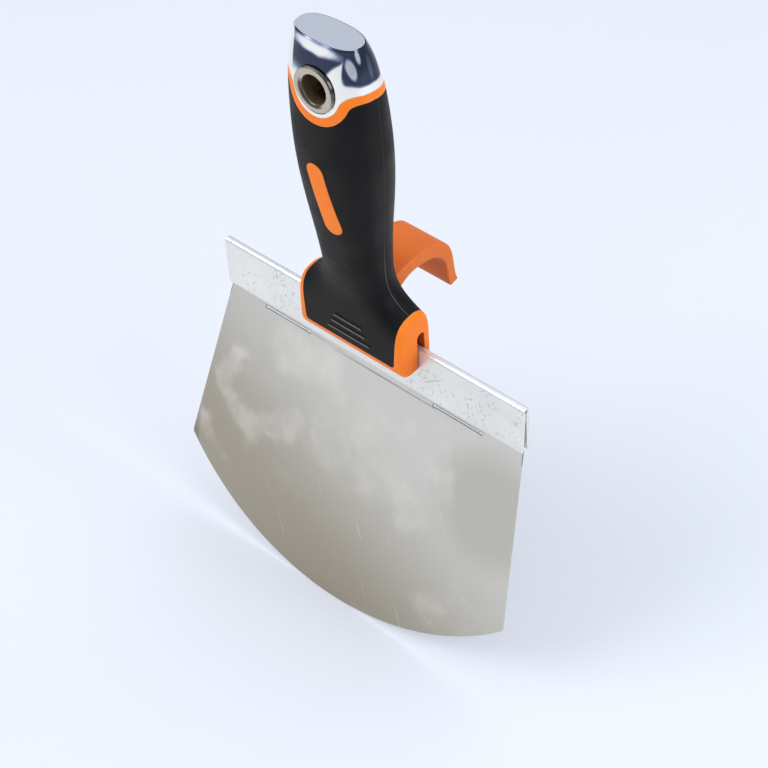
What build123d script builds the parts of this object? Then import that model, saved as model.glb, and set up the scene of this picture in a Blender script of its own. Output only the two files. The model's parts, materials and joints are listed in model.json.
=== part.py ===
from build123d import *
import os
from math import cos, exp, pi, radians, sin, sqrt

# Flexible putty knife: a wide spring-steel blade gripped by a folded aluminium back, on a two-material
# handle with a chromed hammer cap, a hanging eyelet and a hook for the rim of a pail.
# Frame, in mm: the origin is the middle of the back's bottom edge, +X runs along the back, +Y points to
# the hook side and +Z runs up the handle. The blade hangs below the origin and leans to -Y.

# ---- blade ----
BLADE_WIDTH = 200.0          # across the two corners
BLADE_TOP_WIDTH = 175.6      # where it leaves the back
BLADE_THICKNESS = 0.5
BLADE_SIDE = 95.0            # from the back down to a corner, along the blade
BLADE_EDGE_RADIUS = 141.6    # crowned working edge
BLADE_CORNER_RADIUS = 3.0
BLADE_CRANK = 18.2           # degrees that the blade leans forward of the handle
FLANGE_TOP = 24.3            # height of the flange that the back grips
FLANGE_HALF_WIDTH = 87.3
FLEX_DEPTH = 30.0            # flex line, measured down the blade from its fold
FLEX_GAP = 0.3
SLIT_DEPTH = 4.2             # slits just under the back, measured down from the fold
SLIT_INNER = 38.0
SLIT_OUTER = 65.0
SLIT_WIDTH = 0.9
SLIT_RELIEF_RADIUS = 0.75

# ---- aluminium back ----
BACK_LENGTH = 177.3
BACK_HEIGHT = 26.8
BACK_HALF_THICK_TOP = 2.0
BACK_HALF_THICK_LOW = 2.4    # the legs are splayed at the bottom
BACK_HALF_GAP_LOW = 1.3
BACK_EYE_HEIGHT = 24.6       # hollow left inside the fold
BACK_EYE_RADIUS = 0.85
PINCH_LOW = 20.0             # the legs grip the flange from here up to the eye
PINCH_CLEARANCE = 0.03

# ---- foot of the handle ----
FOOT_HALF_WIDTH = 30.0
FOOT_BOTTOM = 14.3
FOOT_CURVE_TOP = 27.0        # the front face curves in below this height
FOOT_CURVE_BACK = -7.0       # where that curve reaches the bottom
FOOT_CURVE_REACH = 7.6
FOOT_END_ROUND = 2.0
SLOT_HALF_WIDTH = 2.5
SLOT_TOP = 35.8
WINDOW_HALF_WIDTH = 27.6     # soft grip's border on the foot: sides, front bottom, rear bottom
WINDOW_NARROWING = 1.6
WINDOW_FRONT_LOW = 22.3
WINDOW_REAR_LOW = 25.8
WINDOW_ROUND = 2.0

# ---- handle form: height, half width, half depth, centre in Y ----
HANDLE_STATIONS = [
    (12.0, 13.4, 10.7, -3.6),
    (40.0, 13.4, 10.7, -3.6),
    (52.0, 13.8, 10.9, -3.8),
    (66.0, 15.3, 12.2, -5.0),
    (85.0, 17.0, 13.6, -6.3),
    (105.0, 19.2, 15.3, -7.3),
    (125.0, 21.0, 16.3, -8.3),
    (147.0, 21.7, 15.5, -9.4),
    (169.0, 21.2, 13.0, -10.5),
    (182.0, 19.0, 10.4, -11.2),
    (190.4, 16.4, 8.0, -12.3),
]
SECTION_LEVELS = [12.0, 24.0, 33.0, 39.5, 44.0, 48.0, 52.0, 57.0, 64.0, 73.0, 86.0, 101.0, 117.0, 133.0,
                  148.0, 160.0, 171.0, 181.0, 190.4]
OVAL_POWER = 2.5             # 2 is an ellipse, more is squarer
OVAL_POINTS = 20
FLARE_HEIGHT = 47.0          # the neck opens out to the foot's ends at this height
FLARE_REACH = 20.9
FLARE_SOFTNESS = 5.8
FLARE_LIMIT = 80.0

# ---- layers of the handle ----
GRIP_WALL = 2.2
CORE_CLEARANCE = 0.05
SEAM_LOW = (-4.5, 50.0)      # (Y, Z) of the seam between the two soft shells
SEAM_HIGH = (-10.4, 169.0)
SEAM_GAP = 0.1

# ---- hammer cap and eyelet ----
EYELET_CENTRE = (0.0, -10.5, 168.5)
EYELET_LEAN = 3.5            # degrees, square to the handle's own lean
EYELET_BORE_RADIUS = 6.35
EYELET_TUBE_RADIUS = 7.1
EYELET_RING_RADIUS = 10.35
EYELET_CROWN_RADIUS = 8.4
EYELET_RING_HEIGHT = 1.9
EYELET_SEAT = 11.8           # from the eyelet's centre to either seat
EYELET_LIP_RADIUS = 8.2
EYELET_LIP_THICK = 0.6
EYELET_LIP_BEVEL = 0.4
EYELET_RIM = 0.7             # straight height of the front ring's outer edge
EYELET_BORE_RIM = 0.2
REAR_RING_THICK = 1.3
REAR_RING_RIM = 0.6
REAR_RING_FLAT = 0.9         # width of the rear ring's flat, outside the rolled lip
REAR_RING_DROP = 0.1
LIP_FIT = 0.15
BOSS_RADIUS = 11.3
SEAT_RADIUS = 10.6
CAP_LOBE_RADIUS = 12.2       # lobe of the cap round the eyelet
CAP_SIDE_RISE = 2.8          # lower border of the cap at the sides, above the eyelet's centre
CAP_LOBE_BLEND = 10.0
CAP_TOP_ROUND = 0.7
CAP_CAVITY_TOP = 183.5
COLLAR_BAND = 4.0            # width of the core's collar below the cap

# ---- accent bar and ridges on the front ----
ACCENT_CENTRE = (0.6, 113.0)
ACCENT_LENGTH = 38.0
ACCENT_WIDTH = 9.0
ACCENT_TILT = 10.0
ACCENT_PROUD = 0.35
RIDGES = [(27.0, 12.3), (31.3, 10.0), (35.5, 8.2)]   # height and half length
RIDGE_WIDTH = 0.8
RIDGE_ROUND = 0.36
RIDGE_FACE = -14.75
RIDGE_ROOT = -13.0

# ---- pail hook ----
HOOK_HALF_WIDTH = 12.5
HOOK_EDGE_ROUND = 0.8
HOOK_ROOT = -3.0
HOOK_PAD_HALF_WIDTH = 10.5
HOOK_PAD_LOW = 44.0
HOOK_PAD_HIGH = 73.0
HOOK_PAD_ROUND = 5.0
HOOK_PAD_PROUD = 1.2
HOOK_OUTER = [(HOOK_ROOT, 55.2), (8.0, 56.3), (20.0, 57.4), (31.0, 55.8), (38.5, 51.8), (42.4, 46.0),
              (44.2, 39.0), (47.2, 24.0)]
HOOK_INNER = [(42.0, 23.0), (39.6, 34.5), (37.6, 41.6), (32.0, 47.2), (24.5, 49.8), (15.5, 50.4),
              (7.6, 47.3), (HOOK_ROOT, 40.5)]

# ---- tang ----
TANG_HALF_WIDTH = 9.5
TANG_HALF_THICK = 1.5
TANG_LOW = (-4.0, 40.0)
TANG_HIGH = (-11.2, 182.0)
TANG_HEADROOM = 2.0
PIN_RADIUS = 1.5
PINS = [(58.0, 8.4), (140.0, 12.9)]      # height and half length

# ---- screws ----
FOOT_SCREW_X = [-20.0, 0.0, 20.0]
FOOT_SCREW_Z = 19.9
FOOT_SCREW_HEAD_Y = 6.7
FOOT_SCREW_TIP_Y = -8.6
FOOT_SCREW_RADIUS = 2.0
FOOT_SCREW_HEAD_RADIUS = 3.8
INSERT_RADIUS = 3.1
INSERT_NEAR_Y = -2.9
INSERT_FAR_Y = -9.0
HOOK_SCREW_X = [-5.6, 5.6]
HOOK_SCREW_Z = 65.5
HOOK_SCREW_HEAD_Y = 7.9
HOOK_SCREW_TIP_Y = -2.2
HOOK_SCREW_RADIUS = 1.6
HOOK_SCREW_HEAD_RADIUS = 2.9
SOCKET_SHARE = 0.7           # hexagon socket's radius over the shank's
HOLE_MOUTH = 4.0             # length cleared behind a screw's head
FIT = 0.04                   # radial clearance round a shank or a tube

FAR = 300.0                  # longer than the whole knife
BOTTOM = (Align.CENTER, Align.CENTER, Align.MIN)


def front_prism(sketch, half_depth=FAR):
    """A shape drawn in the front view (X, Z), thickened along Y."""
    return extrude(Plane.XZ * sketch, amount=half_depth, both=True)


def side_prism(sketch, half_width):
    """A shape drawn in the side view (Y, Z), thickened along X."""
    return extrude(Plane.YZ * sketch, amount=half_width, both=True)


def cross_rod(radius, x, z, start_y, end_y):
    """A round bar along Y."""
    low, high = min(start_y, end_y), max(start_y, end_y)
    return Pos(x, low, z) * Rot(-90, 0, 0) * Cylinder(radius, high - low, align=BOTTOM)


def half_space(front, gap=SEAM_GAP):
    """Everything in front of the seam (or behind it), less half of a gap there."""
    (low_y, low_z), (high_y, high_z) = SEAM_LOW, SEAM_HIGH
    lean = (high_y - low_y) / (high_z - low_z)
    shift = gap / 2 * (-1 if front else 1)
    side = -FAR if front else FAR
    top_y, bottom_y = low_y + lean * (FAR - low_z) + shift, low_y + lean * (-FAR - low_z) + shift
    return side_prism(Polygon((bottom_y, -FAR), (top_y, FAR), (side, FAR), (side, -FAR), align=None), FAR)


# ------------------------------------------------------------------ handle form
def smooth_station(z, column):
    """One column of HANDLE_STATIONS at height z, on a smooth cubic through the stations."""
    rows = HANDLE_STATIONS
    i = max(k for k in range(len(rows) - 1) if rows[k][0] <= z)

    def slope(k):
        low, high = rows[max(k - 1, 0)], rows[min(k + 1, len(rows) - 1)]
        return (high[column] - low[column]) / (high[0] - low[0])

    span = rows[i + 1][0] - rows[i][0]
    t = (z - rows[i][0]) / span
    start = (2 * t ** 3 - 3 * t ** 2 + 1) * rows[i][column] + (t ** 3 - 2 * t ** 2 + t) * span * slope(i)
    finish = (3 * t ** 2 - 2 * t ** 3) * rows[i + 1][column] + (t ** 3 - t ** 2) * span * slope(i + 1)
    return start + finish


def oval(z, half_width, half_depth, centre_y):
    """Squarish oval cross-section."""
    power = 2.0 / OVAL_POWER
    points = []
    for i in range(OVAL_POINTS):
        c, s = cos(2.0 * pi * i / OVAL_POINTS), sin(2.0 * pi * i / OVAL_POINTS)
        across = half_width * abs(c) ** power * (1 if c >= 0 else -1)
        deep = half_depth * abs(s) ** power * (1 if s >= 0 else -1)
        points.append((across, centre_y + deep, z))
    return Face(Wire([Edge.make_spline(points, periodic=True)]))


def handle_section(z, growth):
    """Cross-section of the handle at height z, opening out into the foot at the bottom."""
    flare = FLARE_REACH * exp((FLARE_HEIGHT - z) / FLARE_SOFTNESS)
    half_width = smooth_station(z, 1) + flare * FLARE_LIMIT / (flare + FLARE_LIMIT)
    return oval(z, half_width + growth, smooth_station(z, 2) + growth, smooth_station(z, 3))


def foot_limits(growth):
    """The space between the foot's two ends and above its bottom, whose front edge is a large curve."""
    bottom, front = FOOT_BOTTOM - growth, -FAR
    below = Polygon((front, -FAR), (FAR, -FAR), (FAR, bottom), (front, bottom), align=None)
    corner = Polygon((front, bottom), (FOOT_CURVE_BACK, bottom), (FOOT_CURVE_BACK, FOOT_CURVE_TOP),
                     (front, FOOT_CURVE_TOP), align=None)
    curve = Pos(FOOT_CURVE_BACK, FOOT_CURVE_TOP) * Ellipse(FOOT_CURVE_REACH + growth, FOOT_CURVE_TOP - bottom)
    removed = side_prism(below, FAR) + side_prism(corner - curve, FAR)
    return Box(2 * (FOOT_HALF_WIDTH + growth), 2 * FAR, 2 * FAR) - removed


def handle_body(growth):
    """The handle's whole outer form, grown (or shrunk, if negative) by a wall."""
    return loft([handle_section(z, growth) for z in SECTION_LEVELS]) & foot_limits(growth)


# ------------------------------------------------------------------ borders between layers
def eyelet_frame():
    """Sketch plane across the eyelet's axis: x along the back, y up the handle, z out of the front."""
    lean = radians(EYELET_LEAN)
    return Plane(origin=EYELET_CENTRE, x_dir=(1, 0, 0), z_dir=(0, -cos(lean), sin(lean)))


def above_collar(drop):
    """Everything above the scalloped border under the cap, lowered by drop."""
    side = CAP_SIDE_RISE - drop
    region = Pos(0, side + FAR / 2) * Rectangle(FAR, FAR) + Circle(CAP_LOBE_RADIUS + drop)
    corners = [v for v in region.vertices() if abs(v.Y - side) < 0.01 and abs(v.X) < FAR / 4]
    region = fillet(corners, CAP_LOBE_BLEND - drop)
    return extrude(eyelet_frame() * region, amount=FAR, both=True)


def grip_window(low):
    """Front-view outline of the soft grip where it crosses the foot."""
    narrow = WINDOW_HALF_WIDTH - WINDOW_NARROWING
    outline = Polygon((-narrow, low), (narrow, low), (WINDOW_HALF_WIDTH, FLARE_HEIGHT),
                      (WINDOW_HALF_WIDTH, FAR), (-WINDOW_HALF_WIDTH, FAR), (-WINDOW_HALF_WIDTH, FLARE_HEIGHT),
                      align=None)
    corners = [v for v in outline.vertices() if abs(v.Y - low) < 0.01]
    return fillet(corners, WINDOW_ROUND)


def grip_space(gap):
    """Where the front and rear shells of the grip may be: inside the foot's borders, below the collar."""
    front = front_prism(grip_window(WINDOW_FRONT_LOW)) & half_space(True, gap)
    rear = front_prism(grip_window(WINDOW_REAR_LOW)) & half_space(False, gap)
    collar = above_collar(COLLAR_BAND)
    return front - collar, rear - collar


def accent_prism():
    """Slanted rounded bar in the front view."""
    bar = Pos(*ACCENT_CENTRE) * Rot(0, 0, ACCENT_TILT + 90) * SlotOverall(ACCENT_LENGTH, ACCENT_WIDTH)
    return front_prism(bar) & half_space(front=True)


def eyelet_cylinder(radius, low, high):
    """A disc or tube blank on the eyelet's axis, between two distances from its centre."""
    return eyelet_frame() * (Pos(0, 0, low) * Cylinder(radius, high - low, align=BOTTOM))


# ------------------------------------------------------------------ fasteners
def countersunk_screw(radius, head_radius, x, z, head_y, tip_y):
    """Countersunk screw along Y with a hexagon socket, its head at the rear."""
    cone = head_radius - radius
    shank = cross_rod(radius, x, z, tip_y, head_y)
    head = Pos(x, head_y - cone, z) * Rot(-90, 0, 0) * Cone(radius, head_radius, cone, align=BOTTOM)
    socket = Pos(x, head_y, z) * Rot(90, 0, 0) * extrude(RegularPolygon(radius * SOCKET_SHARE, 6), amount=cone)
    return shank + head - socket


def countersunk_hole(radius, head_radius, x, z, head_y, tip_y):
    """Clearance hole for such a screw, open to the rear."""
    cone = head_radius - radius
    hole = cross_rod(radius + FIT, x, z, tip_y - FIT, head_y)
    seat = Pos(x, head_y - cone, z) * Rot(-90, 0, 0) * Cone(radius + FIT, head_radius + FIT, cone, align=BOTTOM)
    mouth = cross_rod(head_radius + FIT, x, z, head_y, head_y + HOLE_MOUTH)
    return hole + seat + mouth


def foot_holes():
    return Compound([countersunk_hole(FOOT_SCREW_RADIUS, FOOT_SCREW_HEAD_RADIUS, x, FOOT_SCREW_Z,
                                      FOOT_SCREW_HEAD_Y, FOOT_SCREW_TIP_Y) for x in FOOT_SCREW_X])


def hook_holes():
    return Compound([countersunk_hole(HOOK_SCREW_RADIUS, HOOK_SCREW_HEAD_RADIUS, x, HOOK_SCREW_Z,
                                      HOOK_SCREW_HEAD_Y, HOOK_SCREW_TIP_Y) for x in HOOK_SCREW_X])


def foot_screws():
    return Compound([countersunk_screw(FOOT_SCREW_RADIUS, FOOT_SCREW_HEAD_RADIUS, x, FOOT_SCREW_Z,
                                       FOOT_SCREW_HEAD_Y, FOOT_SCREW_TIP_Y) for x in FOOT_SCREW_X])


def hook_screws():
    return Compound([countersunk_screw(HOOK_SCREW_RADIUS, HOOK_SCREW_HEAD_RADIUS, x, HOOK_SCREW_Z,
                                       HOOK_SCREW_HEAD_Y, HOOK_SCREW_TIP_Y) for x in HOOK_SCREW_X])


def foot_inserts():
    """Brass inserts in the front leg that take the foot screws."""
    rings = []
    for x in FOOT_SCREW_X:
        ring = cross_rod(INSERT_RADIUS, x, FOOT_SCREW_Z, INSERT_NEAR_Y, INSERT_FAR_Y)
        rings.append(ring - cross_rod(FOOT_SCREW_RADIUS + FIT, x, FOOT_SCREW_Z, INSERT_NEAR_Y, INSERT_FAR_Y))
    return Compound(rings)


def insert_pockets():
    return Compound([cross_rod(INSERT_RADIUS + FIT, x, FOOT_SCREW_Z, 0.0, INSERT_FAR_Y - FIT)
                     for x in FOOT_SCREW_X])


# ------------------------------------------------------------------ blade and back
def blade_frame():
    """Sketch plane of the blade: x along the back, y up the blade towards its fold."""
    lean = radians(BLADE_CRANK)
    return Plane(origin=(0, 0, 0), x_dir=(1, 0, 0), z_dir=(0, -cos(lean), sin(lean)))


def blade_outline():
    """Blade below its fold: straight flaring sides, round corners and a crowned edge."""
    half, top = BLADE_WIDTH / 2, BLADE_TOP_WIDTH / 2
    crown = BLADE_SIDE + BLADE_EDGE_RADIUS - sqrt(BLADE_EDGE_RADIUS ** 2 - half ** 2)
    left, right = (-half, -BLADE_SIDE), (half, -BLADE_SIDE)
    edges = [Line((-top, 0), left), ThreePointArc(left, (0, -crown), right), Line(right, (top, 0)),
             Line((top, 0), (-top, 0))]
    outline = make_face(Wire(edges))
    corners = [v for v in outline.vertices() if v.Y < -1.0]
    return fillet(corners, BLADE_CORNER_RADIUS)


def blade_slits():
    """The two slits under the back, with a round relief at each end."""
    shapes = []
    for side in (-1, 1):
        middle = side * (SLIT_INNER + SLIT_OUTER) / 2
        shapes.append(Pos(middle, -SLIT_DEPTH) * SlotOverall(SLIT_OUTER - SLIT_INNER, SLIT_WIDTH))
        for end in (SLIT_INNER, SLIT_OUTER):
            shapes.append(Pos(side * end, -SLIT_DEPTH) * Circle(SLIT_RELIEF_RADIUS))
    return shapes


def blade_sheet(outline):
    return extrude(blade_frame() * outline, amount=BLADE_THICKNESS / 2, both=True)


def blade():
    """Free part of the blade, below the flex line."""
    low = -FLEX_DEPTH - FLEX_GAP / 2
    return blade_sheet(blade_outline() & (Pos(0, low - FAR / 2) * Rectangle(FAR, FAR)))


def blade_root():
    """Clamped part of the blade: the flange in the back, the fold and the strip down to the flex line."""
    high = -FLEX_DEPTH + FLEX_GAP / 2
    strip = blade_outline() & (Pos(0, high + FAR / 2) * Rectangle(FAR, FAR))
    flange = Box(2 * FLANGE_HALF_WIDTH, BLADE_THICKNESS, FLANGE_TOP, align=BOTTOM)
    fold = Rot(0, 90, 0) * Cylinder(BLADE_THICKNESS / 2, 2 * FLANGE_HALF_WIDTH)
    return blade_sheet(strip - blade_slits()) + flange + fold - foot_holes()


def blade_spine():
    """Folded aluminium back: legs splayed at the bottom, pinched on the flange, with a hollow in the fold."""
    top = BACK_HEIGHT - BACK_HALF_THICK_TOP
    outside = Polygon((-BACK_HALF_THICK_LOW, 0), (BACK_HALF_THICK_LOW, 0), (BACK_HALF_THICK_TOP, top),
                      (-BACK_HALF_THICK_TOP, top), align=None)
    outside += Pos(0, top) * Circle(BACK_HALF_THICK_TOP)
    pinch = BLADE_THICKNESS / 2 + PINCH_CLEARANCE
    inside = Polygon((-BACK_HALF_GAP_LOW, 0), (BACK_HALF_GAP_LOW, 0), (pinch, PINCH_LOW),
                     (pinch, BACK_EYE_HEIGHT), (-pinch, BACK_EYE_HEIGHT), (-pinch, PINCH_LOW), align=None)
    inside += Pos(0, BACK_EYE_HEIGHT) * Circle(BACK_EYE_RADIUS)
    return side_prism(outside - inside, BACK_LENGTH / 2) - foot_holes()


# ------------------------------------------------------------------ hook
def hook_arm():
    """Arched arm and down-turned lip of the pail hook."""
    outer, inner = Spline(*HOOK_OUTER), Spline(*HOOK_INNER)
    tip = Line(HOOK_OUTER[-1], HOOK_INNER[0])
    root = Line(HOOK_INNER[-1], HOOK_OUTER[0])
    arm = side_prism(make_face(Wire([outer.edge(), tip.edge(), inner.edge(), root.edge()])), HOOK_HALF_WIDTH)
    ends = [e for e in arm.edges() if abs(abs(e.center().X) - HOOK_HALF_WIDTH) < 0.01]
    return fillet(ends + arm.edges().filter_by(Axis.X).sort_by(Axis.Z)[:2], HOOK_EDGE_ROUND)


def hook_form():
    """The hook before it is fitted to the neck: its arm, and a pad that stands just proud of the grip."""
    height = HOOK_PAD_HIGH - HOOK_PAD_LOW
    outline = RectangleRounded(2 * HOOK_PAD_HALF_WIDTH, height, HOOK_PAD_ROUND)
    pad = front_prism(Pos(0, HOOK_PAD_LOW + height / 2) * outline) & half_space(front=False)
    return hook_arm() + (pad & handle_body(HOOK_PAD_PROUD))


def bucket_hook(hook, cavity_form):
    """Hook whose pad follows the core's back and takes two screws."""
    return hook - cavity_form - hook_holes()


# ------------------------------------------------------------------ tang
def tang_strip(clearance):
    """Flat steel strip along the handle's leaning centre line."""
    (low_y, low_z), (high_y, high_z) = TANG_LOW, TANG_HIGH
    along = Vector(0, high_y - low_y, high_z - low_z)
    frame = Plane(origin=(0, low_y, low_z), x_dir=(1, 0, 0), z_dir=along)
    width, thick = 2 * (TANG_HALF_WIDTH + clearance), 2 * (TANG_HALF_THICK + clearance)
    return frame * Box(width, thick, along.length + clearance, align=BOTTOM)


def tang_pin_rods(clearance):
    rods = []
    for z, half_length in PINS:
        centre_y = smooth_station(z, 3)
        rods.append(cross_rod(PIN_RADIUS + clearance, 0, z, centre_y - half_length - clearance,
                              centre_y + half_length + clearance))
    return Compound(rods)


def tang():
    return tang_strip(0.0) - tang_pin_rods(FIT) - eyelet_cylinder(EYELET_TUBE_RADIUS + FIT, -FAR, FAR)


# ------------------------------------------------------------------ handle pieces
def handle_core(outer, core_form):
    """Orange core: tenon, collar band, the foot's rim and ends, the accent bar and the slot for the back."""
    tenon = core_form & (Pos(0, 0, CAP_CAVITY_TOP - CORE_CLEARANCE - FAR) * Box(FAR, FAR, 2 * FAR))
    band = outer & (above_collar(COLLAR_BAND) - above_collar(0.0))
    front, rear = grip_space(-SEAM_GAP)
    below_neck = Pos(0, 0, -FAR + HOOK_PAD_HIGH) * Box(FAR, FAR, 2 * FAR)
    rim = (outer & below_neck) - (front + rear)
    accent = handle_body(ACCENT_PROUD) & accent_prism()
    slot = Polygon((-SLOT_HALF_WIDTH, 0), (SLOT_HALF_WIDTH, 0), (SLOT_HALF_WIDTH, SLOT_TOP - SLOT_HALF_WIDTH),
                   (-SLOT_HALF_WIDTH, SLOT_TOP - SLOT_HALF_WIDTH), align=None)
    slot += Pos(0, SLOT_TOP - SLOT_HALF_WIDTH) * Circle(SLOT_HALF_WIDTH)
    core = tenon + band + rim + accent
    core -= side_prism(slot, FAR)
    core -= tang_strip(CORE_CLEARANCE) + (Pos(0, 0, TANG_HEADROOM) * tang_strip(CORE_CLEARANCE))
    core -= tang_pin_rods(FIT)
    core -= eyelet_cylinder(EYELET_TUBE_RADIUS + FIT, -FAR, FAR)
    core -= foot_holes()
    core -= insert_pockets()
    core -= eyelet_shelves(CORE_CLEARANCE)
    return core - hook_holes()


def grip_ridges():
    """Three thin raised lines low on the front shell."""
    bars = []
    for z, half_length in RIDGES:
        depth = RIDGE_ROOT - RIDGE_FACE
        bar = Pos(0, RIDGE_FACE + depth / 2, z) * Box(2 * half_length, depth, RIDGE_WIDTH)
        bars.append(fillet(bar.edges().filter_by(Axis.Y), RIDGE_ROUND))
    return bars


def grip_shells(outer, hook, cavity_form):
    """Front and rear soft shells over the core."""
    shell = outer - cavity_form
    front, rear = grip_space(SEAM_GAP)
    return (shell & front) - accent_prism() + grip_ridges(), (shell & rear) - hook


def eyelet_shelves(clearance):
    """Space of the cap's two thick shelves under the eyelet's rings."""
    radius, near = BOSS_RADIUS + clearance, EYELET_SEAT - GRIP_WALL - clearance
    return eyelet_cylinder(radius, near, FAR) + eyelet_cylinder(radius, -FAR, -near)


def end_cap(outer, cavity_form):
    """Chromed cap over the tenon, with a boss and a seat for the eyelet on each face."""
    shape = outer & above_collar(0.0)
    reach = EYELET_SEAT
    shape += eyelet_cylinder(BOSS_RADIUS, -reach, reach)
    shape -= eyelet_cylinder(SEAT_RADIUS, reach, FAR) + eyelet_cylinder(SEAT_RADIUS, -FAR, -reach)
    top = shape.faces().sort_by(Axis.Z)[-1]
    shape = fillet(top.edges(), CAP_TOP_ROUND)
    cavity = cavity_form & (Pos(0, 0, CAP_CAVITY_TOP - FAR) * Box(FAR, FAR, 2 * FAR))
    return shape - (cavity - eyelet_shelves(0.0)) - eyelet_cylinder(EYELET_TUBE_RADIUS + FIT, -FAR, FAR)


# ------------------------------------------------------------------ eyelet
def revolved_on_eyelet(points_and_curves):
    """A ring turned round the eyelet's axis from a half section of (radius, distance) edges."""
    section = make_face(Wire([shape.edge() for shape in points_and_curves]))
    return eyelet_frame() * revolve(Plane.XZ * section, Axis.Z)


def eyelet():
    """Tube with a crowned front ring and a rolled rear lip."""
    bore, tube, ring, lip = EYELET_BORE_RADIUS, EYELET_TUBE_RADIUS, EYELET_RING_RADIUS, EYELET_LIP_RADIUS
    seat, crown = EYELET_SEAT, EYELET_SEAT + EYELET_RING_HEIGHT
    rim, bore_rim = seat + EYELET_RIM, seat + EYELET_BORE_RIM
    lip_seat = -EYELET_SEAT - REAR_RING_THICK
    lip_end = lip_seat - EYELET_LIP_THICK
    return revolved_on_eyelet([
        Line((bore, lip_end), (bore, bore_rim)),
        Spline((bore, bore_rim), (EYELET_CROWN_RADIUS, crown), (ring, rim), tangents=[(0, 1), (0, -1)]),
        Line((ring, rim), (ring, seat)),
        Line((ring, seat), (tube, seat)),
        Line((tube, seat), (tube, lip_seat)),
        Line((tube, lip_seat), (lip, lip_seat)),
        Line((lip, lip_seat), (lip - EYELET_LIP_BEVEL, lip_end)),
        Line((lip - EYELET_LIP_BEVEL, lip_end), (bore, lip_end)),
    ])


def eyelet_ring():
    """Loose rear ring that the eyelet is rolled over."""
    inner, ring, flat = EYELET_TUBE_RADIUS + FIT, EYELET_RING_RADIUS, EYELET_LIP_RADIUS + LIP_FIT
    seat, shelf = -EYELET_SEAT, -EYELET_SEAT - REAR_RING_THICK
    rim = seat - REAR_RING_RIM
    return revolved_on_eyelet([
        Line((inner, seat), (inner, shelf)),
        Line((inner, shelf), (flat, shelf)),
        Spline((flat, shelf), (flat + REAR_RING_FLAT, shelf - REAR_RING_DROP), (ring, rim),
               tangents=[(1, -REAR_RING_RIM), (0, 1)]),
        Line((ring, rim), (ring, seat)),
        Line((ring, seat), (inner, seat)),
    ])


def main():
    os.makedirs("parts", exist_ok=True)
    outer = handle_body(0.0)
    ends = [e for e in outer.edges() if abs(abs(e.center().X) - FOOT_HALF_WIDTH) < 0.01]
    outer = fillet(ends, FOOT_END_ROUND)
    core_form = handle_body(-GRIP_WALL - CORE_CLEARANCE)
    cavity_form = handle_body(-GRIP_WALL)
    hook = hook_form()
    front_shell, rear_shell = grip_shells(outer, hook, cavity_form)
    pieces = {
        "blade": blade(),
        "blade_root": blade_root(),
        "blade_spine": blade_spine(),
        "handle_core": handle_core(outer, core_form),
        "grip_front": front_shell,
        "grip_back": rear_shell,
        "tang": tang(),
        "tang_pins": tang_pin_rods(0.0),
        "end_cap": end_cap(outer, cavity_form),
        "eyelet": eyelet(),
        "eyelet_ring": eyelet_ring(),
        "bucket_hook": bucket_hook(hook, cavity_form),
        "hook_screws": hook_screws(),
        "foot_screws": foot_screws(),
        "foot_inserts": foot_inserts(),
    }
    for name, shape in pieces.items():
        export_step(shape, f"parts/{name}.step")


main()
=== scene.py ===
"""Looks of the flexible putty knife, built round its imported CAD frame.

Everything is in metres and in the CAD's frame: the origin is the middle of the back's bottom edge, +X runs
along the back, +Y points to the hook side and +Z runs up the handle. The blade hangs below the origin.
"""

import json
from math import cos, radians, sin

import bmesh
import bpy
from mathutils import Matrix, Vector

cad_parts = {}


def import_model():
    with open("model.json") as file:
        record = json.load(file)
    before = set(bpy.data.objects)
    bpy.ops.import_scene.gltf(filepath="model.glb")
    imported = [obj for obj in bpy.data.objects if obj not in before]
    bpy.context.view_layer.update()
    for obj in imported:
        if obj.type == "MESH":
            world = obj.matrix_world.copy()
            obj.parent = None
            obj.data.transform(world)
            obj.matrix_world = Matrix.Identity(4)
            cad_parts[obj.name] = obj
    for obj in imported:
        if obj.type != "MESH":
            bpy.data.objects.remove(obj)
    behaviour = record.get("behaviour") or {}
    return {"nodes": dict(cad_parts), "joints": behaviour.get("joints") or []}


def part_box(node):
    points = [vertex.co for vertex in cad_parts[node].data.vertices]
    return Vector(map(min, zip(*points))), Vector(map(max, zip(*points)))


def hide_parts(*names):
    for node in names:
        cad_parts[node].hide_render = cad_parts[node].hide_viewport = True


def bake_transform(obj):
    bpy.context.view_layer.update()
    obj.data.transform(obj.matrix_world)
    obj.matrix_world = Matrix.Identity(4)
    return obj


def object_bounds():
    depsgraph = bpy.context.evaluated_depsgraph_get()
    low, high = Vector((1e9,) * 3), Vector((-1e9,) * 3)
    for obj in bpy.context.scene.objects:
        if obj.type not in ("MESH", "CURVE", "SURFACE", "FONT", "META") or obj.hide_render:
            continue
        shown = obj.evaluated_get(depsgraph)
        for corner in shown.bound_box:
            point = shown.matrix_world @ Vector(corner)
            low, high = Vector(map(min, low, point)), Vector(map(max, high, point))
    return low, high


MM = 0.001

# ---- camera: angles in degrees, distance in metres, lens and sensor in mm ----
CAMERA_AZIMUTH = 43.283
CAMERA_ELEVATION = 46.168
CAMERA_ROLL = -3.35
CAMERA_TARGET = Vector((9.7, -3.6, -6.5)) * MM
CAMERA_DISTANCE = 0.9
CAMERA_LENS = 92.33
CAMERA_SENSOR = 36.0

# ---- blade sheet ----
BEND_START = 2.0 * MM        # below the fold, measured down the blade
BEND_STRIP = 2.0 * MM        # width of the strips that the sheet is cut into
JOIN_REACH = 0.2 * MM        # half of the CAD's gap at the flex line, and a little
WELD = 0.001 * MM            # points closer than this are one point
SHARP_ANGLE = 30.0           # degrees

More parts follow.
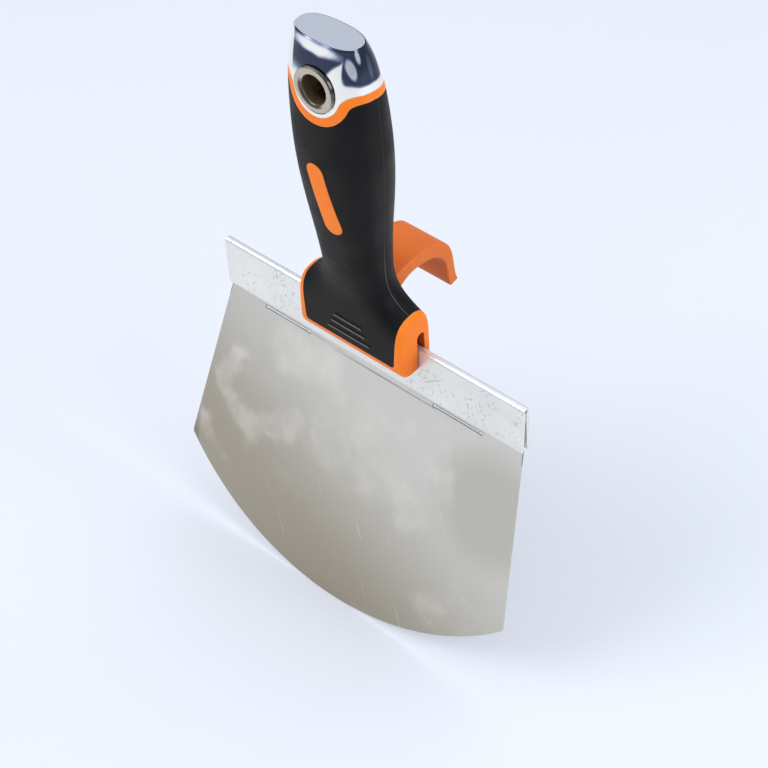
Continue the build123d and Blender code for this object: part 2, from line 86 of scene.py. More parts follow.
# ---- plaster smears on the sheet ----
PLASTER_SWAY = 22.0 * MM     # how far noise pulls the smears out of line
PLASTER_STROKES = [          # start and end (mm across, mm down), reach, strength
    ((-50.0, 22.0), (-24.0, 16.0), 20.0, 0.62),
    ((-20.0, 20.0), (-12.0, 62.0), 22.0, 0.42),
    ((-78.0, 38.0), (-86.0, 56.0), 11.0, 0.60),
    ((-84.0, 60.0), (-68.0, 74.0), 12.0, 0.55),
    ((-66.0, 73.0), (-40.0, 58.0), 15.0, 0.55),
    ((4.0, 30.0), (16.0, 58.0), 26.0, 0.45),
    ((22.0, 26.0), (44.0, 16.0), 13.0, 0.50),
    ((46.0, 28.0), (54.0, 44.0), 13.0, 0.32),
    ((26.0, 50.0), (38.0, 68.0), 15.0, 0.42),
    ((56.0, 106.0), (70.0, 92.0), 13.0, 0.40),
    ((-94.0, 84.0), (-84.0, 98.0), 11.0, 0.38),
]

# ---- marks on the grip ----
SEAM_SLOPE = -0.0496         # the shells part along y = SEAM_SLOPE * z + SEAM_FOOT
SEAM_FOOT = -2.02 * MM
NECK_CREASE = 71.8 * MM
RIDGE_FACE = -14.55 * MM     # the ridges' faces stand in front of this
RIDGE_TOP = 38.0 * MM        # and end below this height

# ---- cards painted on the cap's mirror sides: where each fades in, from clear to full ----
BROAD_LOW = (171.0 * MM, 179.5 * MM)
BROAD_LEFT = (-13.6 * MM, -12.2 * MM)
BROAD_RIGHT = (7.4 * MM, 5.0 * MM)
BROAD_SLANT = 0.85           # how far the right end moves outwards per unit of height
BROAD_SLANT_FOOT = 178.5 * MM
END_LOW = (174.2 * MM, 176.4 * MM)
END_FRONT = (-21.2 * MM, -20.0 * MM)
END_BACK = (-4.8 * MM, -6.4 * MM)
END_RIGHT = (12.0 * MM, 13.0 * MM)
END_LEFT = (-17.0 * MM, -18.0 * MM)

# ---- eyelet, by radius ----
BORE_RADIUS = 6.4 * MM
FUNNEL_RADIUS = 7.6 * MM     # inside this the ring slopes down to the bore
FLANK_RADIUS = 9.3 * MM      # outside this it slopes down to the cap

# ---- studio ----
WORLD_STRENGTH = 0.74
FLOOR_SIZE = 12.0            # metres


def srgb(red, green, blue):
    """Display colour, 0 to 255, as the linear colour that a shader takes."""
    def linear(value):
        share = value / 255.0
        return share / 12.92 if share <= 0.04045 else ((share + 0.055) / 1.055) ** 2.4
    return (linear(red), linear(green), linear(blue), 1.0)


# ---- colours ----
PALE_DUST = srgb(235, 222, 208)
CORE_ORANGE, CORE_ORANGE_DEEP = srgb(252, 132, 25), srgb(246, 120, 16)
# the hook's two colours are the core's orange painted darker and redder, as painted shade
SHADED_HOOK_ORANGE, SHADED_HOOK_ORANGE_DEEP = srgb(227, 116, 39), srgb(217, 104, 29)
ORANGE_RUBBED, ORANGE_SHADED = srgb(255, 182, 120), srgb(176, 58, 8)
GRIP_BLACK, GRIP_PALER_LOW = srgb(13, 14, 18), srgb(36, 36, 35)
GRIP_SPECK, GRIP_SHEEN = srgb(150, 150, 148), srgb(190, 205, 240)
SEAM_HIGHLIGHT_GREY, RIDGE_HIGHLIGHT_GREY, CREASE_SHADE_BLACK = srgb(128, 126, 122), srgb(112, 112, 112), srgb(6, 6, 7)
ALUMINIUM_DULL, ALUMINIUM_BRIGHT = srgb(220, 223, 227), srgb(240, 243, 247)
ALUMINIUM_PIT = srgb(112, 112, 112)
CHROME, SATIN_TOP_REFLECTION, CAP_GRIME = srgb(236, 239, 243), srgb(214, 219, 229), srgb(120, 122, 128)
CARD_FRINGE, CARD_NAVY = srgb(134, 150, 184), srgb(58, 65, 86)
NICKEL, NICKEL_PATINA = srgb(198, 194, 186), srgb(150, 144, 134)
NICKEL_DARK_REFLECTION, BORE_TARNISH = srgb(46, 44, 42), srgb(132, 114, 92)
STEEL_NEAR_BACK, STEEL_NEAR_EDGE = srgb(208, 209, 208), srgb(166, 160, 149)
STEEL_DARK_REFLECTION, STEEL_SCRATCH = srgb(190, 190, 185), srgb(232, 232, 230)
SLIT_SHADE_AND_GRIME, PLASTER = srgb(64, 60, 54), srgb(230, 228, 224)
TANG_BRIGHT, TANG_DULL = srgb(170, 172, 176), srgb(132, 134, 140)
ZINC_BRIGHT, ZINC_DULL = srgb(196, 200, 206), srgb(150, 156, 166)
BRASS_BRIGHT, BRASS_DULL = srgb(214, 178, 104), srgb(178, 140, 74)
PAPER_LOW, PAPER_HIGH = srgb(226, 231, 240), srgb(230, 235, 243)
PAPER_CAST, PAPER_FAR = srgb(239, 238, 234), srgb(240, 243, 250)
WORLD_PLAIN, WORLD_SEEN = srgb(240, 243, 249), srgb(234, 240, 251)
MIRRORED_SKY = [             # by the height of the ray: 0 at the horizon and below it, 1 straight up
    (0.0, srgb(150, 152, 158)),
    (0.2, srgb(110, 112, 118)),
    (0.34, srgb(232, 234, 238)),
    (0.6, srgb(214, 218, 226)),
    (1.0, srgb(206, 214, 230)),
]
SOFTBOXES = [                # name, place and size in metres, power in watts, colour
    ("key", (-0.7, -0.9, 1.1), 0.9, 8.0, srgb(255, 252, 248)),
    ("fill", (1.2, 0.1, 0.7), 0.8, 6.2, srgb(246, 249, 255)),
    ("top", (0.0, 0.5, 1.4), 1.0, 5.0, srgb(252, 253, 255)),
]


class Surface:
    """A procedural material, built up round one Principled shader."""

    def __init__(self, name):
        self.material = bpy.data.materials.new(name)
        self.material.use_nodes = True
        self.tree = self.material.node_tree
        self.shader = self.tree.nodes["Principled BSDF"]
        self.place = self.node("ShaderNodeTexCoord").outputs["Object"]

    def node(self, kind, inputs=None, **settings):
        made = self.tree.nodes.new(kind)
        for key, value in settings.items():
            setattr(made, key, value)
        for key, value in (inputs or {}).items():
            self.feed(made.inputs[key], value)
        return made

    def feed(self, socket, value):
        if isinstance(value, bpy.types.NodeSocket):
            self.tree.links.new(value, socket)
        else:
            socket.default_value = value

    def set(self, **inputs):
        """Shader inputs by name, with _ for a space."""
        for key, value in inputs.items():
            self.feed(self.shader.inputs[key.replace("_", " ")], value)

    def math(self, operation, first, second=0.0):
        return self.node("ShaderNodeMath", {0: first, 1: second}, operation=operation).outputs[0]

    def total(self, *values):
        sum_so_far = values[0]
        for value in values[1:]:
            sum_so_far = self.math("ADD", sum_so_far, value)
        return sum_so_far

    def times(self, first, second):
        return self.math("MULTIPLY", first, second)

    def span(self, value, low, high, start=0.0, end=1.0):
        """Smooth ramp from start to end as value goes from low to high."""
        inputs = {"Value": value, "From Min": low, "From Max": high, "To Min": start, "To Max": end}
        return self.node("ShaderNodeMapRange", inputs, interpolation_type="SMOOTHSTEP").outputs[0]

    def between(self, value, near, far):
        """1 between two soft edges, each given from where it is clear to where it is full."""
        return self.times(self.span(value, *near), self.span(value, *far))

    def without(self, value, part):
        """The value where part is 0, fading to nothing where part is 1."""
        return self.times(value, self.math("SUBTRACT", 1.0, part))

    def mix(self, share, first, second):
        made = self.node("ShaderNodeMix", {0: share, 6: first, 7: second}, data_type="RGBA")
        return made.outputs[2]

    def stretched(self, stretch, vector=None):
        return self.node("ShaderNodeVectorMath", {0: vector or self.place, 1: stretch},
                         operation="MULTIPLY").outputs[0]

    def axis(self, index, vector=None):
        return self.node("ShaderNodeSeparateXYZ", {0: vector or self.place}).outputs[index]

    def noise(self, size, stretch=(1, 1, 1), detail=3.0, vector=None):
        """Noise with features of about the given size in metres, each axis stretched."""
        inputs = {"Vector": self.stretched(stretch, vector), "Scale": 1.0 / size, "Detail": detail}
        return self.node("ShaderNodeTexNoise", inputs).outputs[0]

    def specks(self, spacing, radius, keep, stretch=(1, 1, 1), vector=None):
        """1 inside scattered round specks, 0 elsewhere; keep is the share of cells that hold one."""
        place = self.stretched(stretch, vector)
        cells = self.node("ShaderNodeTexVoronoi", {"Vector": place, "Scale": 1.0 / spacing})
        dot = self.span(cells.outputs["Distance"], radius / spacing, 0.5 * radius / spacing)
        lucky = self.math("LESS_THAN", self.axis(0, cells.outputs["Color"]), keep)
        return self.times(dot, lucky)

    def patch(self, across, along, centre, reach, core=0.45):
        """1 in the core of a soft ellipse of two coordinates, 0 outside it; centre and reach in mm."""
        offsets = [self.math("MULTIPLY_ADD", value, 1.0 / (size * MM))
                   for value, size in zip((across, along), reach)]
        for offset, middle, size in zip(offsets, centre, reach):
            offset.node.inputs[2].default_value = -middle / size
        square = self.total(*[self.times(offset, offset) for offset in offsets])
        return self.span(square, 1.25, core)

    def edges(self, width):
        """1 on outside and inside edges, fading out over the given width."""
        rounded = self.node("ShaderNodeBevel", {"Radius": width}, samples=4).outputs[0]
        plain = self.node("ShaderNodeNewGeometry").outputs["Normal"]
        dot = self.node("ShaderNodeVectorMath", {0: rounded, 1: plain}, operation="DOT_PRODUCT")
        return self.span(dot.outputs["Value"], 0.995, 0.85)

    def bump(self, height, depth, edge_round=0.0):
        """Surface relief: height 0 to 1 stands for depth in metres; edge_round softens sharp edges."""
        inputs = {"Height": height, "Distance": depth}
        if edge_round:
            inputs["Normal"] = self.node("ShaderNodeBevel", {"Radius": edge_round}, samples=4).outputs[0]
        self.set(Normal=self.node("ShaderNodeBump", inputs).outputs[0])


# ---------------------------------------------------------------- materials
def moulded_orange(name, tint, mark):
    """Orange plastic: faint mottling, fine grain, edges rubbed lighter, painted shade where it is hemmed in.
    """
    made = Surface(name)
    mottle = made.noise(9 * MM, detail=4.0)
    grain = made.noise(0.35 * MM, detail=2.0)
    pale_marks = made.specks(spacing=2.2 * MM, radius=0.16 * MM, keep=0.25)
    rubbed = made.times(made.edges(1.1 * MM), made.span(made.noise(3 * MM), 0.35, 0.65))
    deep = made.mix(mottle, mark, tint)
    worn_and_shaded = made.mix(made.times(rubbed, 0.5), deep, ORANGE_RUBBED)
    # painted shade: darker and redder where ambient occlusion finds surfaces close by
    open_air = made.node("ShaderNodeAmbientOcclusion", {"Distance": 22 * MM}, samples=6).outputs["AO"]
    worn_and_shaded = made.mix(made.span(open_air, 0.9, 0.3, 0.0, 0.75), worn_and_shaded, ORANGE_SHADED)
    made.set(Base_Color=made.mix(made.times(pale_marks, 0.45), worn_and_shaded, PALE_DUST),
             Roughness=made.span(grain, 0.2, 0.8, 0.42, 0.56), Specular_IOR_Level=0.28)
    made.bump(made.total(grain, made.times(mottle, 2.0)), 0.035 * MM, edge_round=0.35 * MM)
    return made.material


def soft_grip():
    """Near-black elastomer: pebble grain, seam line and ridges with painted highlights, paler patches low
    down, painted shade in a crease.
    """
    made = Surface("soft_grip_elastomer")
    grain = made.node("ShaderNodeTexVoronoi", {"Vector": made.place, "Scale": 1.0 / (0.55 * MM)},
                      feature="SMOOTH_F1").outputs["Distance"]
    fine = made.noise(0.18 * MM, detail=2.0)
    broad = made.noise(14 * MM, detail=4.0)
    height = made.axis(2)
    seam_y = made.total(made.times(height, SEAM_SLOPE), SEAM_FOOT)
    off_seam = made.math("ABSOLUTE", made.math("SUBTRACT", made.axis(1), seam_y))
    sideways = made.math("ABSOLUTE", made.axis(0, made.node("ShaderNodeNewGeometry").outputs["Normal"]))
    # the seam's raised moulding line; its pale colour is a painted highlight
    line = made.times(made.span(off_seam, 0.28 * MM, 0.12 * MM), made.span(sideways, 0.3, 0.6))
    line = made.times(line, made.span(height, 90 * MM, 70 * MM, 0.25, 1.0))
    # paler in noisy patches, fading in from 78 mm down and full below 40 mm
    pale_marks = made.times(made.span(height, 78 * MM, 40 * MM), made.span(broad, 0.4, 0.7))
    specks = made.specks(spacing=3.4 * MM, radius=0.17 * MM, keep=0.2)
    # painted shade line along a shallow groove across the neck
    crease = made.total(height, made.times(made.axis(0), -0.1), made.times(broad, 1.5 * MM))
    neck = made.between(crease, (NECK_CREASE - 1.0 * MM, NECK_CREASE),
                        (NECK_CREASE + 1.0 * MM, NECK_CREASE + 0.1 * MM))
    # painted highlight on the faces of the ridges
    ridge_highlight = made.times(made.span(made.axis(1), RIDGE_FACE + 0.13 * MM, RIDGE_FACE),
                       made.span(height, RIDGE_TOP, RIDGE_TOP - 1.0 * MM))
    base = made.mix(made.times(pale_marks, 0.5), GRIP_BLACK, GRIP_PALER_LOW)
    base = made.mix(made.times(line, 0.6), base, SEAM_HIGHLIGHT_GREY)
    base = made.mix(made.times(ridge_highlight, 0.75), base, RIDGE_HIGHLIGHT_GREY)
    base = made.mix(made.times(neck, 0.35), base, CREASE_SHADE_BLACK)
    made.set(Base_Color=made.mix(made.times(specks, 0.4), base, GRIP_SPECK),
             Roughness=made.span(broad, 0.3, 0.7, 0.44, 0.56), Specular_IOR_Level=0.13,
             Sheen_Weight=0.03, Sheen_Roughness=0.3, Sheen_Tint=GRIP_SHEEN)
    relief = made.total(grain, made.times(fine, 0.5), made.times(line, 4.0), made.times(neck, -1.6))
    made.bump(relief, 0.03 * MM, edge_round=0.4 * MM)
    return made.material


def back_aluminium():
    """Mill-finish folded aluminium: drawn lines along its length, dents, dark pits and scratches."""
    made = Surface("back_aluminium_mill")
    drawn = made.noise(0.5 * MM, stretch=(0.02, 1, 1), detail=4.0)
    stain = made.noise(16 * MM, stretch=(0.6, 1, 1), detail=5.0)
    cluster = made.span(made.noise(20 * MM, detail=2.0), 0.44, 0.60)
    dents = made.span(made.noise(1.3 * MM, stretch=(1, 1, 0.5), detail=3.0), 0.60, 0.68)
    small = made.specks(spacing=1.6 * MM, radius=0.36 * MM, keep=0.5)
    large = made.specks(spacing=6.0 * MM, radius=0.42 * MM, keep=0.4)
    pits = made.math("MAXIMUM", small, made.times(dents, 0.7))
    pits = made.math("MAXIMUM", made.times(pits, cluster), large)
    turned = made.node("ShaderNodeVectorRotate", {"Vector": made.place, "Axis": (0, 1, 0), "Angle": 0.6},
                       rotation_type="AXIS_ANGLE").outputs[0]
    scratches = made.span(made.noise(1.3 * MM, stretch=(0.04, 1, 1), detail=2.0, vector=turned), 0.69, 0.75)
    marks = made.math("MAXIMUM", pits, made.times(scratches, 0.5))
    clean = made.mix(stain, ALUMINIUM_DULL, ALUMINIUM_BRIGHT)
    made.set(Base_Color=made.mix(made.times(marks, 0.62), clean, ALUMINIUM_PIT), Metallic=0.82,
             Roughness=made.total(made.span(drawn, 0.2, 0.8, 0.34, 0.48), made.times(marks, 0.25)),
             Anisotropic=0.35)
    made.bump(made.math("SUBTRACT", made.times(drawn, 0.6), made.times(marks, 1.6)), 0.03 * MM,
              edge_round=0.2 * MM)
    return made.material


def polished_cap():
    """Chrome over a die-cast cap: a satin striking face, mirror sides and small scuffs.

    The sides are painted with what such a mirror would show from the camera's side: a dark card under a white
    strip on the broad faces, and a dark card with pale panels round the ends. Lower down they stay bright.
    """
    made = Surface("cap_chrome_plate")
    upward = made.span(made.axis(2, made.node("ShaderNodeNewGeometry").outputs["Normal"]), 0.97, 0.995)
    sway = made.times(made.total(made.noise(8 * MM, detail=1.0), -0.5), 3.0 * MM)
    height = made.total(made.axis(2), sway)
    cards = made.math("MAXIMUM", broad_card(made, height), end_card(made, height))
    cards = made.without(cards, upward)
    cast = made.noise(7 * MM, detail=2.0)
    brushed = made.noise(0.4 * MM, stretch=(0.06, 1, 1), detail=3.0)
    scuffs = made.span(made.noise(1.1 * MM, stretch=(0.12, 1, 1), detail=3.0), 0.68, 0.78)
    struck = made.times(made.specks(spacing=2.6 * MM, radius=0.3 * MM, keep=0.5), upward)
    darkened_edges = made.times(made.edges(0.5 * MM), 0.25)
    # the top face is satin; its darker, bluer tone is a painted reflection
    plate = made.mix(upward, CHROME, SATIN_TOP_REFLECTION)
    plate = made.mix(made.span(cards, 0.0, 0.6), plate, CARD_FRINGE)
    plate = made.mix(made.span(cards, 0.3, 1.0), plate, CARD_NAVY)
    made.set(Base_Color=made.mix(darkened_edges, plate, CAP_GRIME), Metallic=1.0,
             Roughness=made.total(made.span(upward, 0.0, 1.0, 0.06, 0.26), made.times(scuffs, 0.12)))
    relief = made.total(made.times(cast, 1.2), made.times(made.times(brushed, upward), 0.5),
                        made.times(struck, -1.5), made.times(scuffs, -0.12))
    made.bump(relief, 0.03 * MM)
    return made.material


def broad_card(made, height):
    """Dark card that the broad faces mirror, with a white strip near the top and a slanted right end."""
    across = made.axis(0)
    strip = made.patch(across, height, centre=(-1.0, 187.3), reach=(14.5, 3.1), core=0.0)
    slanted = made.total(across, made.times(made.total(height, -BROAD_SLANT_FOOT), -BROAD_SLANT))
    card = made.times(made.span(height, *BROAD_LOW), made.span(slanted, *BROAD_RIGHT))
    card = made.times(card, made.span(across, *BROAD_LEFT))
    return made.without(card, strip)


def end_card(made, height):
    """Dark card that the rounded ends mirror, with a pale panel, a gleam and a faint streak in it."""
    across, depth = made.axis(0), made.axis(1)
    card = made.times(made.between(depth, END_FRONT, END_BACK), made.span(height, *END_LOW))
    ends = made.math("MAXIMUM", made.span(across, *END_RIGHT), made.span(across, *END_LEFT))
    card = made.times(card, ends)
    panel = made.patch(depth, height, centre=(-17.9, 182.5), reach=(1.4, 5.2))
    gleam = made.patch(depth, height, centre=(-15.0, 187.4), reach=(1.1, 3.4), core=0.0)
    streak = made.patch(depth, height, centre=(-11.0, 182.0), reach=(1.0, 6.0))
    pale = made.math("MAXIMUM", made.times(gleam, 0.9), made.times(streak, 0.22))
    return made.without(card, made.math("MAXIMUM", made.times(panel, 0.7), pale))


def eyelet_nickel(name, centre):
    """Turned nickel plate with a tarnished bore, and painted dark reflections on its outer flank and at the
    bottom of its funnel.
    """
    made = Surface(name)
    across = made.node("ShaderNodeVectorMath", {0: made.place, 1: centre}, operation="SUBTRACT").outputs[0]
    flat = made.stretched((1, 0, 1), across)
    radius = made.node("ShaderNodeVectorMath", {0: flat}, operation="LENGTH").outputs["Value"]
    turned = made.node("ShaderNodeTexNoise", {"W": radius, "Scale": 9000.0, "Detail": 2.0},
                       noise_dimensions="1D").outputs[0]
    bore = made.span(radius, BORE_RADIUS + 0.35 * MM, BORE_RADIUS)
    sides = made.times(made.axis(0, across), made.axis(2, across))
    flank = made.times(made.span(radius, FLANK_RADIUS, FLANK_RADIUS + 0.8 * MM),
                       made.span(sides, -70 * MM * MM, 10 * MM * MM))
    lean = made.total(made.times(made.axis(0, across), -0.6), made.times(made.axis(2, across), -0.8))
    funnel = made.times(made.span(radius, FUNNEL_RADIUS + 0.7 * MM, FUNNEL_RADIUS),
                        made.span(lean, 0.5 * MM, 4.0 * MM))
    # painted dark reflections on the outer flank and at the bottom of the funnel
    card = made.times(made.math("MAXIMUM", flank, funnel), 0.85)
    patina = made.noise(2.5 * MM, detail=4.0)
    plate = made.mix(made.times(patina, 0.6), NICKEL, NICKEL_PATINA)
    plate = made.mix(card, plate, NICKEL_DARK_REFLECTION)
    made.set(Base_Color=made.mix(bore, plate, BORE_TARNISH), Metallic=made.span(bore, 0, 1, 1.0, 0.8),
             Roughness=made.total(made.span(patina, 0.3, 0.7, 0.1, 0.2), made.times(bore, 0.35)))
    made.bump(made.total(turned, patina), 0.012 * MM)
    return made.material


def machined_metal(name, light, dark, roughness):
    """Plated steel or turned brass, with fine machining lines and cloudy patches."""
    made = Surface(name)
    patches = made.noise(1.6 * MM, detail=4.0)
    lines = made.noise(0.15 * MM, stretch=(1, 0.1, 1), detail=2.0)
    made.set(Base_Color=made.mix(patches, light, dark), Metallic=1.0,
             Roughness=made.span(patches, 0.3, 0.7, roughness, roughness + 0.15))
    made.bump(made.total(lines, made.times(made.edges(0.2 * MM), -0.5)), 0.015 * MM)
    return made.material


def blade_steel():
    """Satin stainless sheet: rolling lines, scratches, plaster smears, a painted darker reflection at the
    right, slits in painted shade with grime.
    """
    made = Surface("blade_steel_satin")
    sheet = made.node("ShaderNodeUVMap", uv_map="sheet").outputs[0]
    across, down = made.axis(0, sheet), made.axis(1, sheet)
    rolled = made.noise(0.35 * MM, stretch=(1, 0.02, 1), detail=3.0, vector=sheet)
    cloud = made.noise(24 * MM, detail=7.0, vector=sheet)
    sway = made.node("ShaderNodeTexNoise", {"Vector": sheet, "Scale": 1.0 / (18 * MM), "Detail": 6.0})
    sway = made.node("ShaderNodeVectorMath", {0: sway.outputs["Color"], 1: (-0.5, -0.5, 0.0)},
                     operation="ADD")
    sway = made.stretched((PLASTER_SWAY, PLASTER_SWAY, 0.0), sway.outputs[0])
    wiped = made.node("ShaderNodeVectorMath", {0: sheet, 1: sway}, operation="ADD").outputs[0]
    plaster = 0.0
    for stroke in PLASTER_STROKES:
        plaster = made.math("MAXIMUM", plaster, plaster_stroke(made, wiped, *stroke))
    film = made.span(made.total(plaster, made.times(cloud, 1.5), -0.72), 0.10, 1.0, 0.0, 0.62)
    streaks = made.span(made.noise(3.0 * MM, stretch=(1, 0.35, 1), detail=6.0, vector=sheet), 0.45, 0.75)
    film = made.total(film, made.times(made.times(streaks, film), 0.3))
    turned = made.node("ShaderNodeVectorRotate", {"Vector": sheet, "Axis": (0, 0, 1), "Angle": 0.5},
                       rotation_type="AXIS_ANGLE").outputs[0]
    scratches = made.span(made.noise(1.6 * MM, stretch=(1, 0.03, 1), detail=2.0, vector=turned), 0.70, 0.74)
    shade = made.span(made.total(down, made.times(across, -0.45)), 10 * MM, 130 * MM)
    # painted darker reflection over the right side of the sheet
    dark_reflection = made.patch(across, down, centre=(78.0, 40.0), reach=(34.0, 34.0), core=0.2)
    steel = made.mix(shade, STEEL_NEAR_BACK, STEEL_NEAR_EDGE)
    steel = made.mix(dark_reflection, steel, STEEL_DARK_REFLECTION)
    steel = made.mix(made.times(scratches, 0.35), steel, STEEL_SCRATCH)
    # painted shade with some grime: the sheet darkens along its edges near the back, in and round the slits
    darkened_edges = made.times(made.edges(1.1 * MM), made.span(down, 9 * MM, 7 * MM))
    steel = made.mix(darkened_edges, steel, SLIT_SHADE_AND_GRIME)
    made.set(Base_Color=made.mix(film, steel, PLASTER),
             Metallic=made.span(film, 0.0, 1.0, 1.0, 0.35),
             Roughness=made.total(made.span(rolled, 0.25, 0.75, 0.30, 0.38), made.times(film, 0.3)),
             Anisotropic=0.3)
    made.bump(made.total(made.times(rolled, 0.5), made.times(film, 0.5), made.times(scratches, -0.4)),
              0.02 * MM)
    return made.material


def plaster_stroke(made, place, start, end, reach, strength):
    """Soft smear of dried plaster along a line on the sheet, in mm across and down it."""
    start, end = Vector((*start, 0)) * MM, Vector((*end, 0)) * MM
    along = end - start
    offset = made.node("ShaderNodeVectorMath", {0: place, 1: -start}, operation="ADD").outputs[0]
    share = made.node("ShaderNodeVectorMath", {0: offset, 1: along / along.length_squared},
                      operation="DOT_PRODUCT").outputs["Value"]
    share = made.node("ShaderNodeClamp", {"Value": share}).outputs[0]
    nearest = made.node("ShaderNodeVectorMath", {0: along}, operation="SCALE")
    made.feed(nearest.inputs["Scale"], share)
    apart = made.node("ShaderNodeVectorMath", {0: offset, 1: nearest.outputs[0]}, operation="DISTANCE")
    return made.span(apart.outputs["Value"], reach * MM, 0.25 * reach * MM, 0.0, strength)


# ---------------------------------------------------------------- blade
def blade_sheet(nodes, flex_point):
    """One springy sheet from the CAD's two halves of the blade, joined at the flex line, in strips."""
    down = flex_point.normalized()
    flex_depth = flex_point.length
    sheet = bmesh.new()
    for node in ("blade_root", "blade"):
        sheet.from_mesh(nodes[node].data)
    bmesh.ops.remove_doubles(sheet, verts=sheet.verts, dist=WELD)

    def near_flex(vert):
        return abs(vert.co.dot(down) - flex_depth) < JOIN_REACH and vert.co.z < 0

    ends = [face for face in sheet.faces if all(near_flex(vert) for vert in face.verts)]
    bmesh.ops.delete(sheet, geom=ends, context="FACES_ONLY")
    rims = [vert for vert in sheet.verts if near_flex(vert)]
    for vert in rims:
        vert.co -= down * (vert.co.dot(down) - flex_depth)
    bmesh.ops.remove_doubles(sheet, verts=rims, dist=JOIN_REACH)

    depth = BEND_START
    while depth < 2 * flex_depth:
        everything = sheet.verts[:] + sheet.edges[:] + sheet.faces[:]
        bmesh.ops.bisect_plane(sheet, geom=everything, dist=WELD, plane_co=down * depth, plane_no=down)
        depth += BEND_STRIP
    bmesh.ops.recalc_face_normals(sheet, faces=sheet.faces)

    uv = sheet.loops.layers.uv.new("sheet")
    for face in sheet.faces:
        for loop in face.loops:
            loop[uv].uv = (loop.vert.co.x, loop.vert.co.dot(down))
    mesh = bpy.data.meshes.new("blade_sheet")
    sheet.to_mesh(mesh)
    sheet.free()
    made = bpy.data.objects.new("blade_sheet", mesh)
    bpy.context.collection.objects.link(made)
    mesh.shade_smooth()
    mesh.set_sharp_from_angle(angle=radians(SHARP_ANGLE))
    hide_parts("blade", "blade_root")
    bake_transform(made)
    return made


# ---------------------------------------------------------------- studio
def world_light():
    """Pale studio: plain in diffuse light and behind the knife, dark low down in mirror reflections."""
    world = bpy.data.worlds.new("studio")
    bpy.context.scene.world = world
    world.use_nodes = True
    tree = world.node_tree
    tree.nodes.remove(tree.nodes["Background"])
    ray = tree.nodes.new("ShaderNodeLightPath")

    def background(color, strength=1.0):
        made = tree.nodes.new("ShaderNodeBackground")
        made.inputs[0].default_value = color
        made.inputs[1].default_value = strength
        return made

    def choose(kind, otherwise, chosen):
        made = tree.nodes.new("ShaderNodeMixShader")
        for socket, source in zip(made.inputs, (ray.outputs[kind], otherwise, chosen)):
            tree.links.new(source, socket)
        return made.outputs[0]

    ramp = tree.nodes.new("ShaderNodeValToRGB")
    up = tree.nodes.new("ShaderNodeSeparateXYZ")
    tree.links.new(tree.nodes.new("ShaderNodeTexCoord").outputs["Generated"], up.inputs[0])
    tree.links.new(up.outputs[2], ramp.inputs[0])
    stops = ramp.color_ramp.elements
    stops[0].color, stops[1].color = MIRRORED_SKY[0][1], MIRRORED_SKY[-1][1]
    for position, color in MIRRORED_SKY[1:-1]:
        stops.new(position).color = color
    mirrored = background(WORLD_PLAIN)
    tree.links.new(ramp.outputs[0], mirrored.inputs[0])

    plain = background(WORLD_PLAIN, WORLD_STRENGTH)
    lit = choose("Is Glossy Ray", plain.outputs[0], mirrored.outputs[0])
    seen = choose("Is Camera Ray", lit, background(WORLD_SEEN).outputs[0])
    tree.links.new(seen, tree.nodes["World Output"].inputs[0])


def softbox(name, place, size, power, color):
    """Square area light that faces the knife."""
    light = bpy.data.lights.new(name, "AREA")
    light.size, light.energy, light.color = size, power, color[:3]
    made = bpy.data.objects.new(name, light)
    bpy.context.collection.objects.link(made)
    made.location = place
    made.rotation_euler = (CAMERA_TARGET - Vector(place)).to_track_quat("-Z", "Y").to_euler()


def studio_floor(low_z):
    """Plain pale floor under the blade's edge, brighter far off; the light it casts back is warmer."""
    bpy.ops.mesh.primitive_plane_add(size=FLOOR_SIZE, location=(0, 0, low_z))
    floor = bpy.context.object
    floor.name = "studio_floor"
    made = Surface("studio_floor_paper")
    paper = made.mix(made.noise(0.4), PAPER_LOW, PAPER_HIGH)
    camera_ray = made.node("ShaderNodeLightPath").outputs["Is Camera Ray"]
    distance = made.node("ShaderNodeVectorMath", {0: made.place}, operation="LENGTH").outputs["Value"]
    lift = made.times(camera_ray, made.span(distance, 0.5, 4.5, 0.0, 0.30))
    made.set(Base_Color=made.mix(camera_ray, PAPER_CAST, paper), Roughness=0.9,
             Emission_Color=PAPER_FAR, Emission_Strength=lift)
    floor.data.materials.append(made.material)


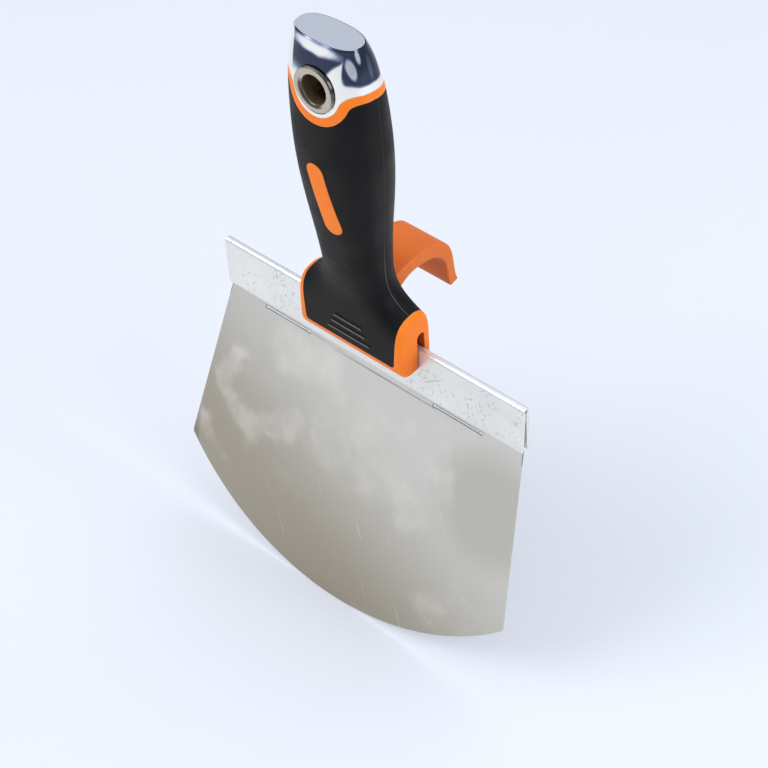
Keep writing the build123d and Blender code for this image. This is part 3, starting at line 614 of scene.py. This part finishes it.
def photo_camera():
    """Camera at the photograph's angle, distance and perspective."""
    turn, lift, roll = radians(CAMERA_AZIMUTH), radians(CAMERA_ELEVATION), radians(CAMERA_ROLL)
    back = Vector((sin(turn) * cos(lift), -cos(turn) * cos(lift), sin(lift)))
    level = Vector((cos(turn), sin(turn), 0))
    steep = back.cross(level)
    right = level * cos(roll) + steep * sin(roll)
    up = back.cross(right)
    data = bpy.data.cameras.new("photo_camera")
    data.lens, data.sensor_width = CAMERA_LENS, CAMERA_SENSOR
    camera = bpy.data.objects.new("photo_camera", data)
    bpy.context.collection.objects.link(camera)
    camera.matrix_world = Matrix.Translation(CAMERA_TARGET + back * CAMERA_DISTANCE) @ Matrix(
        (right, up, back)).transposed().to_4x4()
    bpy.context.scene.camera = camera


def paint(frame):
    """Gives every CAD node its material, except the two blade halves, which are hidden."""
    low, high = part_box("eyelet")
    centre = (Vector(low) + Vector(high)) / 2
    looks = {
        "blade_spine": back_aluminium(),
        "handle_core": moulded_orange("core_orange", CORE_ORANGE, CORE_ORANGE_DEEP),
        # the hook is the core's orange plastic, painted in shade
        "bucket_hook": moulded_orange("shaded_hook_orange", SHADED_HOOK_ORANGE, SHADED_HOOK_ORANGE_DEEP),
        "grip_front": soft_grip(),
        "end_cap": polished_cap(),
        "eyelet": eyelet_nickel("eyelet_nickel_plate", centre),
        "tang": machined_metal("tang_steel_blank", TANG_BRIGHT, TANG_DULL, roughness=0.35),
        "foot_screws": machined_metal("screw_zinc", ZINC_BRIGHT, ZINC_DULL, roughness=0.22),
        "foot_inserts": machined_metal("insert_brass_turned", BRASS_BRIGHT, BRASS_DULL, roughness=0.25),
    }
    shared = {"grip_back": "grip_front", "eyelet_ring": "eyelet", "tang_pins": "tang",
              "hook_screws": "foot_screws"}
    looks.update({node: looks[other] for node, other in shared.items()})
    for node, material in looks.items():
        mesh = frame["nodes"][node].data
        mesh.materials.clear()
        mesh.materials.append(material)


def main():
    bpy.context.scene.view_settings.view_transform = "Standard"
    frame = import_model()
    cad_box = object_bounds()
    flex_point = Vector(frame["joints"][0]["pos_m"])
    sheet = blade_sheet(frame["nodes"], flex_point)
    sheet.data.materials.append(blade_steel())
    paint(frame)
    world_light()
    for box in SOFTBOXES:
        softbox(*box)
    studio_floor(cad_box[0].z)
    photo_camera()


main()
